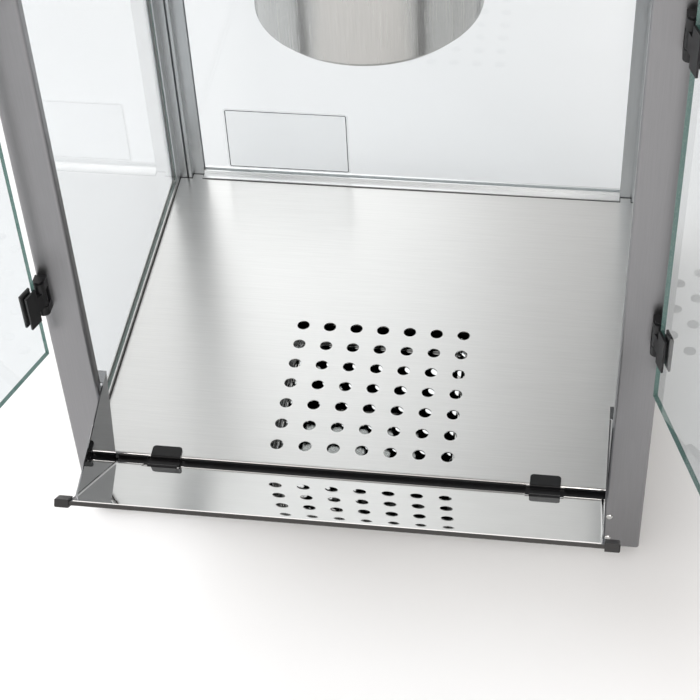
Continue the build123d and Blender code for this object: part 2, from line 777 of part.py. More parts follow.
panel_gauge = 2.0
housing_width = 22.0
housing_height = 28.0
with BuildPart() as switch_panel:
    with BuildSketch(facing(fascia_y, 0, panel_z)):
        RectangleRounded(panel_width, panel_height, 4)
        with GridLocations(rocker_pitch, 0, 2, 1):
            Rectangle(housing_width, housing_height, mode=Mode.SUBTRACT)
    extrude(amount=panel_gauge)
    fillet(switch_panel.faces().sort_by(Axis.Y)[0].outer_wire().edges(), 0.8)
switch_panel.part.label = "switch_panel"
export_step(switch_panel.part, "parts/switch_panel.step")

# The rockers turn in round pockets, so each housing is cut by the circle that its rocker sweeps.
rocker_y = fascia_y + 3
bezel_front = fascia_y - panel_gauge - 1.5
rocker_gap = 0.4
pivot_radius = 1.5
rockers = (("motor", -rocker_pitch / 2), ("kettle", rocker_pitch / 2))
with BuildPart() as switch_housings:
    with BuildSketch(facing(fascia_y - panel_gauge, 0, panel_z)):
        with GridLocations(rocker_pitch, 0, 2, 1):
            RectangleRounded(housing_width + 4, housing_height + 4, 2)
    extrude(amount=1.5)
    with BuildSketch(facing(fascia_y - panel_gauge, 0, panel_z)):
        with GridLocations(rocker_pitch, 0, 2, 1):
            Rectangle(housing_width - 0.2, housing_height - 0.2)
    extrude(amount=-(panel_gauge + 18))
    for name, x in rockers:
        with BuildSketch(section(x - rocker_width / 2 - rocker_gap, rocker_y, panel_z)):
            Circle(rocker_radius + rocker_gap)
        extrude(amount=rocker_width + 2 * rocker_gap, mode=Mode.SUBTRACT)
        with BuildSketch(section(x - rocker_width / 2 - 1.6, rocker_y, panel_z)):
            Circle(pivot_radius + running_gap)
        extrude(amount=rocker_width + 3.2, mode=Mode.SUBTRACT)
switch_housings.part.label = "switch_housings"
export_step(switch_housings.part, "parts/switch_housings.step")

for name, x in rockers:
    rocker_plane = Plane(
        origin=(x - rocker_width / 2, rocker_y, panel_z),
        x_dir=(0, cos(radians(rocker_tilt)), sin(radians(rocker_tilt))),
        z_dir=(1, 0, 0),
    )
    with BuildPart() as rocker:
        with BuildSketch(rocker_plane):
            Circle(rocker_radius)
            with BuildLine():
                Polyline((3, -12), (3, 12), (-8.6, 12), (-7.2, 0), (-8.6, -12), close=True)
            make_face(mode=Mode.INTERSECT)
        extrude(amount=rocker_width)
        with BuildSketch(section(x - rocker_width / 2 - 1.4, rocker_y, panel_z)):
            Circle(pivot_radius)
        extrude(amount=rocker_width + 2.8)
    rocker.part.label = f"rocker_{name}"
    export_step(rocker.part, f"parts/rocker_{name}.step")

with BuildPart() as cord_gland:
    with BuildSketch(section(gland_x, rear_y, gland_z)):
        block(-9, gland_out, 0, gland_body)
        block(0, 2.5, 0, gland_body + 3)
        block(-5, -2 * sheet, 0, gland_body + 2.4)
        block(-9, gland_out, 0, gland_bore, mode=Mode.SUBTRACT)
    revolve(axis=Axis((gland_x, rear_y, gland_z), (0, 1, 0)))
cord_gland.part.label = "cord_gland"
export_step(cord_gland.part, "parts/cord_gland.step")

# ---- Drive -------------------------------------------------------------------------------------
plate_top = ceiling_z + 2 * sheet
drive_radius = 4.0
gearbox_height = 24.0
with BuildPart() as gear_motor:
    with BuildSketch(level(plate_top, 0, kettle_y)):
        RectangleRounded(64, 52, 8)
        with GridLocations(76, 0, 2, 1):
            SlotOverall(16, 12)
            Circle(2.2, mode=Mode.SUBTRACT)
    extrude(amount=3)
    with BuildSketch(level(plate_top, 0, kettle_y)):
        RectangleRounded(64, 52, 8)
    extrude(amount=gearbox_height)
    fillet(gear_motor.faces().sort_by(Axis.Z)[-1].edges(), 2)
    with BuildSketch(level(plate_top + gearbox_height, 0, kettle_y)):
        Circle(21)
    extrude(amount=32)
    with BuildSketch(level(plate_top, 0, kettle_y)):
        Circle(drive_radius + running_gap)
    extrude(amount=gearbox_height - 6, mode=Mode.SUBTRACT)
gear_motor.part.label = "gear_motor"
export_step(gear_motor.part, "parts/gear_motor.step")

dog_top = kettle_z + stirrer_rise
with BuildPart() as drive_shaft:
    with BuildSketch(level(dog_top + dog_gap, 0, kettle_y)):
        Circle(dog_radius + 1)
        Rectangle(3.2, 3 * dog_radius, mode=Mode.SUBTRACT)
    extrude(amount=3)
    with BuildSketch(level(dog_top + dog_gap + 3, 0, kettle_y)):
        Circle(dog_radius + 1)
    extrude(amount=6)
    with BuildSketch(level(dog_top + dog_gap + 9, 0, kettle_y)):
        Circle(drive_radius)
    extrude(amount=plate_top + gearbox_height - 7 - dog_top - dog_gap - 9)
drive_shaft.part.label = "drive_shaft"
export_step(drive_shaft.part, "parts/drive_shaft.step")

# ---- Kettle ------------------------------------------------------------------------------------
rim_under = rim_z - kettle_wall
pan_floor = rim_z - kettle_inner_depth
kettle_outer = kettle_inner_radius + kettle_wall
kettle_section = facing(kettle_y)
kettle_axis = Axis((0, kettle_y, 0), (0, 0, 1))
boss_radius = 6.5
pan_corner = 14.0
cone_inset = kettle_wall * tan(radians(22.5))
with BuildPart() as kettle_pan:
    with BuildSketch(kettle_section):
        with BuildLine():
            Polyline(
                (0, pan_floor - kettle_wall),
                (kettle_outer - pan_corner, pan_floor - kettle_wall),
                (kettle_outer, pan_floor - kettle_wall + pan_corner),
                (kettle_outer, rim_under),
                (kettle_rim_radius, rim_under),
                (kettle_rim_radius, rim_z),
                (kettle_inner_radius, rim_z),
                (kettle_inner_radius, pan_floor + pan_corner - cone_inset),
                (kettle_outer - pan_corner - cone_inset, pan_floor),
                (boss_radius, pan_floor),
                (boss_radius, pan_floor + 4),
                (0, pan_floor + 4),
                close=True,
            )
        make_face()
    revolve(axis=kettle_axis)
    with BuildSketch(level(pan_floor + 0.5, 0, kettle_y)):
        Circle(shaft_radius + running_gap)
    extrude(amount=4, mode=Mode.SUBTRACT)
kettle_pan.part.label = "kettle_pan"
export_step(kettle_pan.part, "parts/kettle_pan.step")

jacket_floor = pan_floor - kettle_wall - jacket_gap
with BuildPart() as kettle_jacket:
    with BuildSketch(level(jacket_floor, 0, kettle_y)):
        Circle(jacket_radius)
    extrude(amount=rim_under - jacket_floor)
    chamfer(kettle_jacket.faces().sort_by(Axis.Z)[0].edges(), 5)
    offset(amount=-jacket_wall, openings=kettle_jacket.faces().sort_by(Axis.Z)[-1])
kettle_jacket.part.label = "kettle_jacket"
export_step(kettle_jacket.part, "parts/kettle_jacket.step")

ring_strip = 5.0
with BuildPart() as heating_ring:
    with BuildSketch(kettle_section):
        with Locations((40, pan_floor - kettle_wall - ring_strip / 2 - 0.05)):
            Rectangle(2 * ring_strip, ring_strip)
    revolve(axis=kettle_axis)
heating_ring.part.label = "heating_ring"
export_step(heating_ring.part, "parts/heating_ring.step")

# The crossbar stands on the rim, carries the stirrer's bush and ends in the two trunnions.
bar_x = kettle_rim_radius - 1 - crossbar_gauge / 2
bar_z = kettle_z + trunnion_radius + crossbar_gauge / 2 + 1.5
bush_low = bar_z - 8
bush_high = bar_z + 4.5
hanger_x = kettle_rim_radius + 1
lever_x = hanger_x + hanger_gauge + 13
pin_tip = hanger_x + hanger_gauge + 4
with BuildPart() as crossbar:
    with BuildSketch(facing(kettle_y)):
        folded(
            ((-bar_x, rim_z), (-bar_x, bar_z), (bar_x, bar_z), (bar_x, rim_z)), gauge=crossbar_gauge, radius=3
        )
    extrude(amount=crossbar_width / 2, both=True)
    with BuildSketch(level(bush_low, 0, kettle_y)):
        Circle(6)
    extrude(amount=bush_high - bush_low)
    with BuildSketch(level(bush_low, 0, kettle_y)):
        Circle(shaft_radius + running_gap)
    extrude(amount=bush_high - bush_low, mode=Mode.SUBTRACT)
    with BuildSketch(section(bar_x, kettle_y, kettle_z)):
        Circle(trunnion_radius)
    extrude(amount=lever_x + 4 - bar_x)
    with BuildSketch(section(-pin_tip, kettle_y, kettle_z)):
        Circle(trunnion_radius)
    extrude(amount=pin_tip - bar_x)
crossbar.part.label = "crossbar"
export_step(crossbar.part, "parts/crossbar.step")

with BuildPart() as kettle_hangers:
    for s in (-1, 1):
        arm_x = s * (hanger_x + hanger_gauge / 2)
        with BuildSketch(facing(kettle_y)):
            folded(
                (
                    (arm_x, kettle_z - hanger_width / 2),
                    (arm_x, ceiling_z + sheet - hanger_gauge / 2),
                    (arm_x + s * 20, ceiling_z + sheet - hanger_gauge / 2),
                ),
                gauge=hanger_gauge,
                radius=3,
            )
        extrude(amount=hanger_width / 2, both=True)
        with BuildSketch(section(0, kettle_y, kettle_z)):
            Circle(trunnion_radius + running_gap)
        extrude(amount=s * (hanger_x + 2 * hanger_gauge), mode=Mode.SUBTRACT)
    fillet(kettle_hangers.edges().filter_by(Axis.X).group_by(Axis.Z)[0], hanger_width / 2 - 1)
kettle_hangers.part.label = "kettle_hangers"
export_step(kettle_hangers.part, "parts/kettle_hangers.step")

with BuildPart() as stirrer:
    with BuildSketch(level(pan_floor + 0.6, 0, kettle_y)):
        Circle(shaft_radius)
    extrude(amount=dog_top - 4 - pan_floor - 0.6)
    with BuildSketch(level(dog_top - 12, 0, kettle_y)):
        Circle(dog_radius)
    extrude(amount=9)
    with BuildSketch(level(dog_top - 3, 0, kettle_y)):
        Circle(dog_radius)
        Rectangle(2.8, 3 * dog_radius, mode=Mode.INTERSECT)
    extrude(amount=3)
    with BuildSketch(level(pan_floor + 6, 0, kettle_y)):
        Circle(7)
        blade_tip = kettle_inner_radius - pan_corner
        for s in (-1, 1):
            with BuildLine() as blade:
                SagittaArc((0, 0), (s * blade_tip, s * 14), s * 7)
            trace(blade.line, line_width=5)
    extrude(amount=3)
stirrer.part.label = "stirrer"
export_step(stirrer.part, "parts/stirrer.step")

# The rear half lid is fixed on the rim; the front half lifts on a pin along its straight edge.
lid_radius = kettle_rim_radius - 5
lid_split = crossbar_width / 2
lid_curl = 1.9
lid_pin_radius = 1.0
lid_pin_y = kettle_y - lid_split - lid_curl - seat_gap
lid_pin_z = rim_z + 2.8
lid_fixed_curls = ((-50, -30.2), (30.2, 50))
lid_moving_curls = ((-29.9, -10.2), (10.2, 29.9))


def add_curls(spans, edge_y, low, bore):
    """Knuckles of the lid hinge, each with a web back to the lid plate at edge_y."""
    for left, right in spans:
        with BuildSketch(section(left, lid_pin_y, lid_pin_z)) as knuckle:
            Circle(lid_curl)
            block(*sorted((0, edge_y - lid_pin_y)), low - lid_pin_z, low - lid_pin_z + sheet)
            Circle(bore, mode=Mode.SUBTRACT)
        extrude(knuckle.sketch, amount=right - left)


with BuildPart() as lid_rear:
    with BuildSketch(level(rim_z, 0, kettle_y)):
        Circle(lid_radius)
        block(-lid_radius, lid_radius, -lid_split, lid_radius, mode=Mode.INTERSECT)
        Circle(shaft_radius + 2, mode=Mode.SUBTRACT)
    extrude(amount=sheet)
    add_curls(lid_fixed_curls, kettle_y - lid_split + 1, rim_z, lid_pin_radius)
lid_rear.part.label = "lid_rear"
export_step(lid_rear.part, "parts/lid_rear.step")

with BuildPart() as lid_pin:
    with BuildSketch(section(lid_fixed_curls[0][0], lid_pin_y, lid_pin_z)):
        Circle(lid_pin_radius)
    extrude(amount=lid_fixed_curls[1][1] - lid_fixed_curls[0][0])
lid_pin.part.label = "lid_pin"
export_step(lid_pin.part, "parts/lid_pin.step")

with BuildPart() as lid_front:
    front_low = rim_z + seat_gap
    front_edge = lid_pin_y - lid_curl - seat_gap
    with BuildSketch(level(front_low, 0, kettle_y)):
        Circle(lid_radius)
        block(-lid_radius, lid_radius, -lid_radius, front_edge - kettle_y, mode=Mode.INTERSECT)
    extrude(amount=sheet)
    with BuildSketch(section(-9, kettle_y - lid_radius + 1)):
        folded(((0, front_low + 0.5), (0, front_low + 11), (-8, front_low + 13)), radius=3)
    extrude(amount=18)
    add_curls(lid_moving_curls, front_edge - 1, front_low, lid_pin_radius + running_gap)
lid_front.part.label = "lid_front"
export_step(lid_front.part, "parts/lid_front.step")

with BuildPart() as kettle_lever:
    with BuildSketch(section(lever_x - 4, kettle_y, kettle_z)):
        Circle(8)
        Circle(trunnion_radius, mode=Mode.SUBTRACT)
    extrude(amount=8)
    with BuildSketch(facing(kettle_y - 7, lever_x, kettle_z)):
        Circle(3)
    extrude(amount=lever_length)
kettle_lever.part.label = "kettle_lever"
export_step(kettle_lever.part, "parts/kettle_lever.step")

with BuildPart() as lever_grip:
    with BuildSketch(section(lever_x, kettle_y - 7 - lever_length, kettle_z)):
        with BuildLine():
            grip_base = Line((36, 3.05), (36, 7))
            grip_side = SagittaArc(grip_base @ 1, (2, 7.5), 2)
            Polyline(grip_side @ 1, (-4, 4.5), (-4, 0), (0, 0), (0, 3.05), grip_base @ 0)
        make_face()
    revolve(axis=Axis((lever_x, kettle_y, kettle_z), (0, 1, 0)))
lever_grip.part.label = "lever_grip"
export_step(lever_grip.part, "parts/lever_grip.step")

# ---- Lamp and kettle outlet ------------------------------------------------------------------------
lamp_x = -125.0
lamp_z = ceiling_z + sheet
with BuildPart() as lamp_socket:
    with BuildSketch(level(lamp_z, lamp_x, kettle_y)):
        Circle(19)
    extrude(amount=-4)
    with BuildSketch(level(lamp_z - 4, lamp_x, kettle_y)):
        Circle(16)
    extrude(amount=-20)
    chamfer(lamp_socket.faces().sort_by(Axis.Z)[0].edges(), 1)
    with BuildSketch(level(lamp_z - 24, lamp_x, kettle_y)):
        Circle(11.2)
    extrude(amount=14, mode=Mode.SUBTRACT)
lamp_socket.part.label = "lamp_socket"
export_step(lamp_socket.part, "parts/lamp_socket.step")

with BuildPart() as lamp_bulb:
    with BuildSketch(facing(kettle_y, lamp_x, lamp_z - 10)):
        with BuildLine():
            cap = Line((0, 0), (11.15, 0))
            neck = Line(cap @ 1, (11.15, -16))
            globe = CenterArc((0, -40), 20, 25, -115)
            Line(neck @ 1, globe @ 0)
            Line(globe @ 1, cap @ 0)
        make_face()
    revolve(axis=Axis((lamp_x, kettle_y, 0), (0, 0, 1)))
lamp_bulb.part.label = "lamp_bulb"
export_step(lamp_bulb.part, "parts/lamp_bulb.step")

with BuildPart() as kettle_outlet:
    with BuildSketch(level(lamp_z, -lamp_x, kettle_y + 60)):
        RectangleRounded(40, 30, 5)
    extrude(amount=-16)
    fillet(kettle_outlet.faces().sort_by(Axis.Z)[0].edges(), 1.5)
    with BuildSketch(level(lamp_z - 16, -lamp_x, kettle_y + 60)):
        with GridLocations(14, 0, 2, 1):
            Rectangle(2.4, 8)
        with Locations((0, 9)):
            Circle(2.4)
    extrude(amount=11, mode=Mode.SUBTRACT)
kettle_outlet.part.label = "kettle_outlet"
export_step(kettle_outlet.part, "parts/kettle_outlet.step")
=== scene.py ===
import json
from math import cos, radians, sin

import bmesh
import bpy
from mathutils import Matrix, Vector


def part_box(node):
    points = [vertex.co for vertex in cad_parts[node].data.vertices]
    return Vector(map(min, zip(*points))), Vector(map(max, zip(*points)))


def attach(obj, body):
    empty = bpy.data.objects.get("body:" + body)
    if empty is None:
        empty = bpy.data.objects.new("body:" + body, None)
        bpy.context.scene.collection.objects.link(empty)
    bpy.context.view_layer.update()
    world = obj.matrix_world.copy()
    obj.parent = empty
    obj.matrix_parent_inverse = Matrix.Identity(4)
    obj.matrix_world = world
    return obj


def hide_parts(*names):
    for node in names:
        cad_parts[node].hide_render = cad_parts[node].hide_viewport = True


# Countertop popcorn cabinet: finishes, small fittings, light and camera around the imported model.
# Metres. +Z is up and the front faces -Y.

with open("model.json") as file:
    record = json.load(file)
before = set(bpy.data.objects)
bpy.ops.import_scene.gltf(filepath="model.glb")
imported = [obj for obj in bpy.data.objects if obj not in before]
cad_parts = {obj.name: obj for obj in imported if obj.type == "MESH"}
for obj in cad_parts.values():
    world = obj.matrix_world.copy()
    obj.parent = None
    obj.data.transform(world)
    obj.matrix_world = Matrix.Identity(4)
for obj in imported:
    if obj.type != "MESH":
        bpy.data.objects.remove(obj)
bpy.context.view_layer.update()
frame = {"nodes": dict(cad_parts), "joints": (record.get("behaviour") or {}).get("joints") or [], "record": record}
nodes = frame["nodes"]
scene = bpy.context.scene

MM = 0.001


# ---- Making nodes --------------------------------------------------------------------------------
def linear(code):
    """An sRGB hex colour as the linear colour that shaders take."""
    parts = [int(code[i : i + 2], 16) / 255 for i in (1, 3, 5)]
    return [c / 12.92 if c <= 0.04045 else ((c + 0.055) / 1.055) ** 2.4 for c in parts] + [1.0]


def add(tree, kind, settings=None, inputs=None):
    """Adds one shader node, with its settings and its inputs, which are values or other nodes' sockets."""
    node = tree.nodes.new("ShaderNode" + kind)
    for name, value in (settings or {}).items():
        setattr(node, name, value)
    for name, value in (inputs or {}).items():
        if isinstance(value, bpy.types.NodeSocket):
            tree.links.new(value, node.inputs[name])
        else:
            node.inputs[name].default_value = value
    return node


def material(name, **inputs):
    """A new material with one Principled shader; underscores in the input names stand for spaces."""
    made = bpy.data.materials.new(name)
    made.use_nodes = True
    tree = made.node_tree
    tree.nodes.clear()
    shader = add(tree, "BsdfPrincipled", {}, {k.replace("_", " "): v for k, v in inputs.items()})
    output = add(tree, "OutputMaterial")
    tree.links.new(shader.outputs[0], output.inputs[0])
    return made, tree, shader


def ramp(tree, factor, low, high, to_low, to_high):
    """A number that runs from to_low to to_high while the factor runs from low to high."""
    return add(
        tree,
        "MapRange",
        {"clamp": True},
        {"Value": factor, "From Min": low, "From Max": high, "To Min": to_low, "To Max": to_high},
    ).outputs[0]


def tint(tree, factor, first, second):
    """A colour that goes from the first, a hex value or a socket, to the second with the factor."""
    start = linear(first) if isinstance(first, str) else first
    mixed = add(tree, "Mix", {"data_type": "RGBA"}, {0: factor, 6: start, 7: linear(second)})
    return mixed.outputs[2]


def object_part(tree, axis):
    """The Object coordinate along axis 0, 1 or 2, in metres."""
    place = add(tree, "TexCoord").outputs["Object"]
    return add(tree, "SeparateXYZ", {}, {0: place}).outputs[axis]


def object_noise(tree, scale, size, detail=2.0):
    """Noise on Object coordinates, whose cell is size millimetres over the three scale factors."""
    place = add(tree, "TexCoord").outputs["Object"]
    turned = add(tree, "Mapping", {}, {"Vector": place, "Scale": [s / (size * MM) for s in scale]})
    noise = add(tree, "TexNoise", {}, {"Vector": turned.outputs[0], "Scale": 1.0, "Detail": detail})
    return noise.outputs[0]


def bumped(tree, shader, height, depth):
    """Gives the shader a surface relief of that depth in millimetres."""
    bump = add(tree, "Bump", {}, {"Height": height, "Distance": depth * MM, "Strength": 1.0})
    tree.links.new(bump.outputs[0], shader.inputs["Normal"])


# ---- Finishes ------------------------------------------------------------------------------------
GRAIN_WIDTH = 0.7
GRAIN_LENGTH = 32.0
ALONG_X, ALONG_Z = (1.0, 0.01, 0.0), (0.01, 0.0, 1.0)


def brushed(name, dark, light, grain, roughness, anisotropy, spun_about=None, bright_below=None):
    """Belt-brushed stainless sheet: fine parallel scratches along one axis draw the reflections out
    across them. Belt scratches are about 0.1 mm wide; they are drawn 0.7 mm wide so that they show.
    The axis leans by a hundredth, so a face that it stands on still has a grain. A spun piece's
    scratches run round the upright axis through spun_about. Below the height bright_below the sheet
    is taken to be unbrushed and mill bright."""
    made, tree, shader = material(name, Metallic=1.0, Roughness=roughness, Anisotropic=anisotropy)
    across = [1.0 if g == 1.0 else GRAIN_LENGTH / GRAIN_WIDTH for g in grain]
    scratches = object_noise(tree, across, GRAIN_LENGTH, 3.0)
    shade = ramp(tree, scratches, 0.25, 0.75, 0.0, 1.0)
    tree.links.new(tint(tree, shade, dark, light), shader.inputs["Base Color"])
    rough = ramp(tree, scratches, 0.3, 0.7, roughness - 0.005, roughness + 0.005)
    if bright_below:
        upper = ramp(tree, object_part(tree, 2), bright_below - 0.2 * MM, bright_below, 0.1, 1.0)
        rough = add(tree, "Math", {"operation": "MULTIPLY"}, {0: rough, 1: upper}).outputs[0]
    tree.links.new(rough, shader.inputs["Roughness"])
    direction = add(tree, "CombineXYZ", {}, {i: g for i, g in enumerate(grain)}).outputs[0]
    if spun_about:
        place = add(tree, "TexCoord").outputs["Object"]
        arm = add(tree, "VectorMath", {"operation": "SUBTRACT"}, {0: place, 1: spun_about}).outputs[0]
        turned = add(tree, "VectorMath", {"operation": "CROSS_PRODUCT"}, {0: direction, 1: arm})
        direction = turned.outputs[0]
    settings = {"vector_type": "VECTOR", "convert_from": "OBJECT", "convert_to": "WORLD"}
    along = add(tree, "VectorTransform", settings, {0: direction}).outputs[0]
    normal = add(tree, "NewGeometry").outputs["Normal"]
    crossed = add(tree, "VectorMath", {"operation": "CROSS_PRODUCT"}, {0: normal, 1: along}).outputs[0]
    tangent = add(tree, "VectorMath", {"operation": "NORMALIZE"}, {0: crossed}).outputs[0]
    tree.links.new(tangent, shader.inputs["Tangent"])
    return made


def polished(name, dark, light, roughness, shaded_ends=None):
    """Bright-annealed or plated sheet: almost a mirror, with faint buffing haze in patches. Shaded ends
    are a half width and a darker colour beyond it: a painted shade for the dark surroundings they reflect."""
    made, tree, shader = material(name, Metallic=1.0, Roughness=roughness)
    haze = object_noise(tree, (1, 1, 1), 35.0, 4.0)
    colour = tint(tree, haze, dark, light)
    if shaded_ends:
        half, painted_shade_colour = shaded_ends
        off_middle = add(tree, "Math", {"operation": "ABSOLUTE"}, {0: object_part(tree, 0)}).outputs[0]
        # Past the half width the colour turns to the darker one: painted shade on the folded ends, not a real tone
        # of the steel.
        colour = tint(tree, ramp(tree, off_middle, half - 0.2 * MM, half, 0.0, 1.0), colour, painted_shade_colour)
    tree.links.new(colour, shader.inputs["Base Color"])
    tree.links.new(
        ramp(tree, haze, 0.35, 0.7, roughness * 0.7, roughness * 1.6), shader.inputs["Roughness"]
    )
    return made


def moulded(name, colour, roughness, grit, relief):
    """Moulded plastic or rubber: a fine spark-eroded texture whose grit is given in millimetres."""
    made, tree, shader = material(name, Base_Color=linear(colour), Roughness=roughness, IOR=1.5)
    texture = object_noise(tree, (1, 1, 1), grit, 2.0)
    tree.links.new(
        ramp(tree, texture, 0.3, 0.7, roughness - 0.06, roughness + 0.08), shader.inputs["Roughness"]
    )
    bumped(tree, shader, texture, relief)
    return made


def coated(name, colour, roughness, metallic, sheen=0.5):
    """Black zinc or stoved paint on steel: a thin even coat with slight orange peel of 1.5 mm."""
    made, tree, shader = material(
        name, Roughness=roughness, Metallic=metallic, IOR=1.5, Specular_IOR_Level=sheen
    )
    peel = object_noise(tree, (1, 1, 1), 1.5, 2.0)
    wear = object_noise(tree, (1, 1, 1), 12.0, 3.0)
    tree.links.new(tint(tree, wear, colour, "#1c1c1e"), shader.inputs["Base Color"])
    bumped(tree, shader, peel, 0.006)
    return made


def film(name, colour, cover):
    """Thin translucent film, which lets the rest of the light through; a satin face of 0.5 mm grain."""
    made, tree, shader = material(
        name, Base_Color=linear(colour), Roughness=0.45, Specular_IOR_Level=0.2, Alpha=cover
    )
    bumped(tree, shader, object_noise(tree, (1, 1, 1), 0.5), 0.002)
    return made


def clear_pane(name, colour, green):
    """Toughened float glass: clear with a hint of green, and mirror-like at a shallow angle. Only the
    side that a ray enters by reflects, because the pane doesn't bend the ray."""
    made, tree, shader = material(name, Base_Color=linear(green), Roughness=0.0, IOR=1.5)
    through = add(tree, "BsdfTransparent", {}, {"Color": linear(colour)})
    gloss = add(tree, "BsdfGlossy", {}, {"Color": linear("#ffffff"), "Roughness": 0.0})
    inside = add(tree, "NewGeometry").outputs["Backfacing"]
    fresnel = add(tree, "Fresnel", {}, {"IOR": 1.5}).outputs[0]
    outside = add(tree, "Math", {"operation": "SUBTRACT"}, {0: 1.0, 1: inside}).outputs[0]
    share = add(tree, "Math", {"operation": "MULTIPLY"}, {0: fresnel, 1: outside}).outputs[0]
    pane = add(tree, "MixShader", {}, {0: share, 1: through.outputs[0], 2: gloss.outputs[0]})
    output = next(n for n in tree.nodes if n.type == "OUTPUT_MATERIAL")
    tree.links.new(pane.outputs[0], output.inputs[0])
    return made


MATERIALS = {}


def hatch_half():
    """Half the width of the hatch's folded tray, without its stop tabs."""
    tab_reach = 7.5 * MM
    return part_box("hatch_tray")[1].x - tab_reach


def finish_all():
    """Every finish by its slot. The tray's side gussets get a painted shade: a darker colour standing in for the
    dark surroundings they reflect.
    """
    m = MATERIALS
    gusset_inset = 1.6 * MM
    brushed_depth = 0.3 * MM
    m["stainless_floor"] = brushed(
        "stainless brushed along x floor", "#dcdcdb", "#e3e3e2", ALONG_X, 0.34, 0.68,
        bright_below=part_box("floor_pan")[1].z - brushed_depth,
    )
    m["stainless_post"] = brushed(
        "stainless satin along z", "#8a8a8c", "#8f8f91", ALONG_Z, 0.34, 0.5
    )
    m["stainless_panel"] = brushed(
        "stainless brushed along x", "#a4a4a3", "#acacab", ALONG_X, 0.32, 0.6
    )
    m["stainless_sill"] = brushed(
        "stainless brushed along y sill", "#c4c4c3", "#c9c9c8", (0.0, 1.0, 0.01), 0.32, 0.6
    )
    m["stainless_mirror"] = polished("stainless bright annealed", "#dcdddd", "#e8e9e9", 0.018)
    # Beyond the gusset inset the tray turns to #b4b6b9, painted shade on the side gussets.
    m["stainless_tray"] = polished(
        "stainless bright annealed folded", "#dcdddd", "#e8e9e9", 0.018,
        (hatch_half() - gusset_inset, "#b4b6b9"),
    )
    m["plated_steel"] = polished("steel nickel plated", "#bdbdbc", "#d6d6d4", 0.10)
    kettle_low, kettle_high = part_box("kettle_pan")
    kettle_axis = (kettle_low + kettle_high) / 2
    m["kettle_steel"] = brushed(
        "stainless spun satin", "#b4b4b2", "#bfbfbd", ALONG_Z, 0.27, 0.5, spun_about=kettle_axis
    )
    m["aluminium_profile"] = brushed(
        "aluminium satin anodised upright", "#b2b6b9", "#b7bbbe", ALONG_Z, 0.35, 0.4
    )
    m["aluminium_rail"] = brushed(
        "aluminium satin anodised level", "#e2e4e5", "#e6e8e9", ALONG_X, 0.30, 0.5
    )
    m["black_zinc"] = coated("steel black zinc", "#121213", 0.34, 0.0, 0.3)
    m["motor_paint"] = coated("steel stoved grey paint", "#2a2b2d", 0.45, 0.0)
    m["ring_steel"] = coated("steel dark oxide", "#3b3431", 0.6, 0.6)
    m["black_plastic"] = moulded("ABS black moulded", "#121213", 0.45, 0.8, 0.02)
    m["charcoal_moulding"] = moulded("PVC charcoal extruded", "#262524", 0.42, 1.0, 0.01)
    m["gasket_rubber"] = moulded("EPDM rubber black", "#161616", 0.7, 0.6, 0.02)
    m["sealant"] = moulded("silicone sealant dark grey", "#333435", 0.5, 2.0, 0.01)
    m["foot_rubber"] = moulded("rubber black", "#131313", 0.75, 0.6, 0.03)
    m["rocker_motor"] = moulded("polycarbonate red gloss", "#a8140f", 0.2, 3.0, 0.002)
    m["rocker_kettle"] = moulded("polycarbonate black gloss", "#141414", 0.2, 3.0, 0.002)
    m["lamp_ceramic"] = moulded("steatite glazed", "#e6e3da", 0.25, 6.0, 0.01)
    m["lamp_glass"] = moulded("glass frosted inside", "#f3ead2", 0.3, 0.5, 0.002)
    m["label_film"] = film("polyester film pearl", "#eef0f2", 0.12)

    m["clear_glass"] = clear_pane("glass toughened clear", "#f5f7f8", "#dfe9e6")
    # A white strip that paints the highlight line along the foot of the back pane, over shade.
    m["painted_highlight_strip"] = moulded("white strip painted highlight", "#e9ebec", 0.6, 0.8, 0.01)
    m["glass_edge"] = moulded("glass ground edge", "#4d6f68", 0.25, 1.0, 0.002)
    m["label_ink"] = film("printing ink grey", "#4c4f52", 0.8)


finish_all()

SLOT_FOR = {
    "front_post_left": "stainless_post",
    "front_post_right": "stainless_post",
    "rear_rails": "aluminium_rail",
    "hatch_tray": "stainless_tray",
    "kernel_drawer": "stainless_mirror",
}
slots = {s["node"]: s["material_slot"] for s in frame["record"]["subparts"]}
for name, piece in nodes.items():
    piece.data.materials.clear()
    piece.data.materials.append(MATERIALS[SLOT_FOR.get(name, slots[name])])


# ---- Pieces --------------------------------------------------------------------------------------
def piece_from(name, made, body, finish):
    """Turns a finished bmesh into a piece that rides on a body; finish names one or more materials."""
    mesh = bpy.data.meshes.new(name)
    made.to_mesh(mesh)
    made.free()
    piece = bpy.data.objects.new(name, mesh)
    scene.collection.objects.link(piece)
    for key in finish:
        mesh.materials.append(MATERIALS[key])
    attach(piece, body)
    return piece


def glazing(node, body):
    """The pane's own form with its ground edges in a second, green finish."""
    pane = bmesh.new()
    pane.from_mesh(nodes[node].data)
    bmesh.ops.remove_doubles(pane, verts=pane.verts, dist=0.01 * MM)
    bmesh.ops.dissolve_limit(pane, angle_limit=radians(1), verts=pane.verts, edges=pane.edges)
    broad = max(pane.faces, key=lambda f: f.calc_area()).normal.copy()
    for face in pane.faces:
        face.material_index = 0 if abs(face.normal.dot(broad)) > 0.9 else 1
    piece = piece_from(node + "_panes", pane, body, ("clear_glass", "glass_edge"))
    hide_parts(node)


